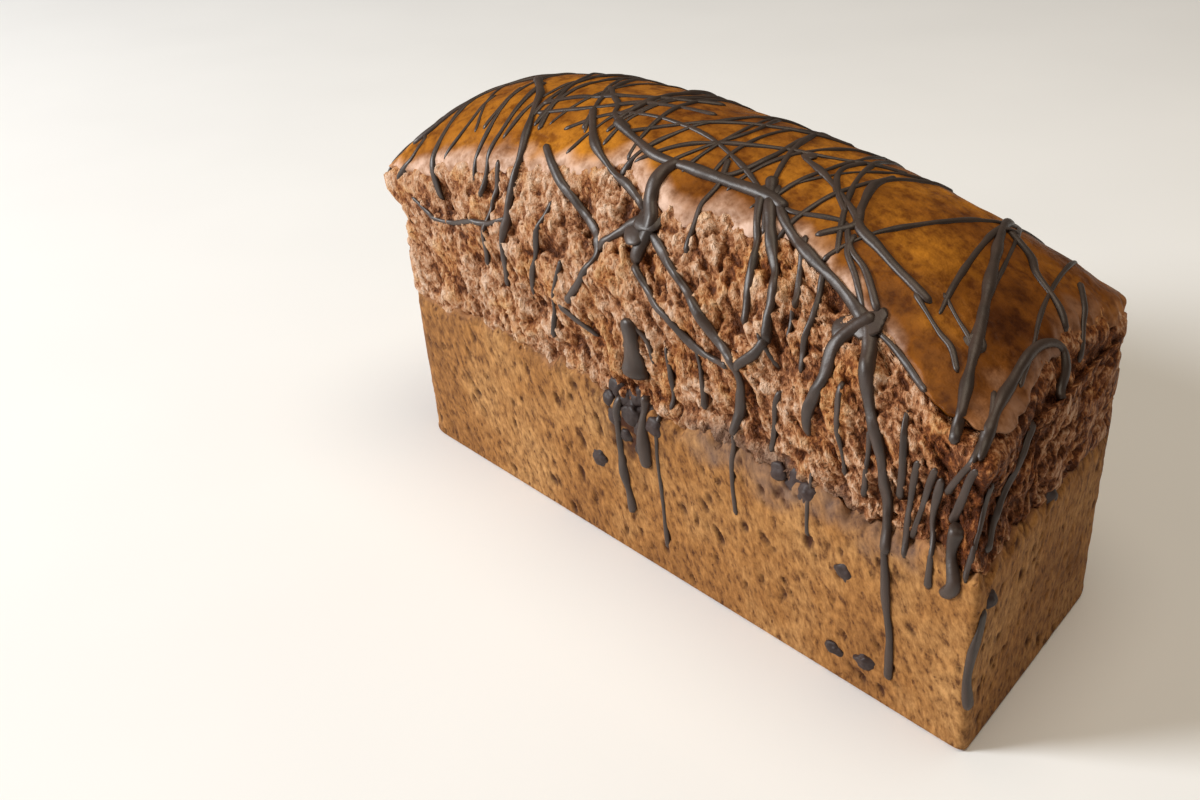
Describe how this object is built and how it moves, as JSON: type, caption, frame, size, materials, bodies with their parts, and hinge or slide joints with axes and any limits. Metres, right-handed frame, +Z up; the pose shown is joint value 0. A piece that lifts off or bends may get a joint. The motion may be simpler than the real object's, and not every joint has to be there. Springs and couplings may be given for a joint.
{
  "type": "banana bread loaf",
  "caption": "Whole tin-baked chocolate chip banana bread with a domed brown crust, a torn crumbly side, flat base and thick chocolate drizzle.",
  "frame": {"origin": "middle of the loaf's outline in plan, on the plane it stands on", "axes": "+X along the loaf towards its low square end, -Y out of the side with the wide torn band, +Z up"},
  "size_m": [0.2256, 0.0926, 0.1155],
  "materials": {
    "loaf": "matt baked crumb under a glossy brown crust"
  },
  "bodies": {
    "root": {"loaf": "loaf"}
  },
  "joints": []
}
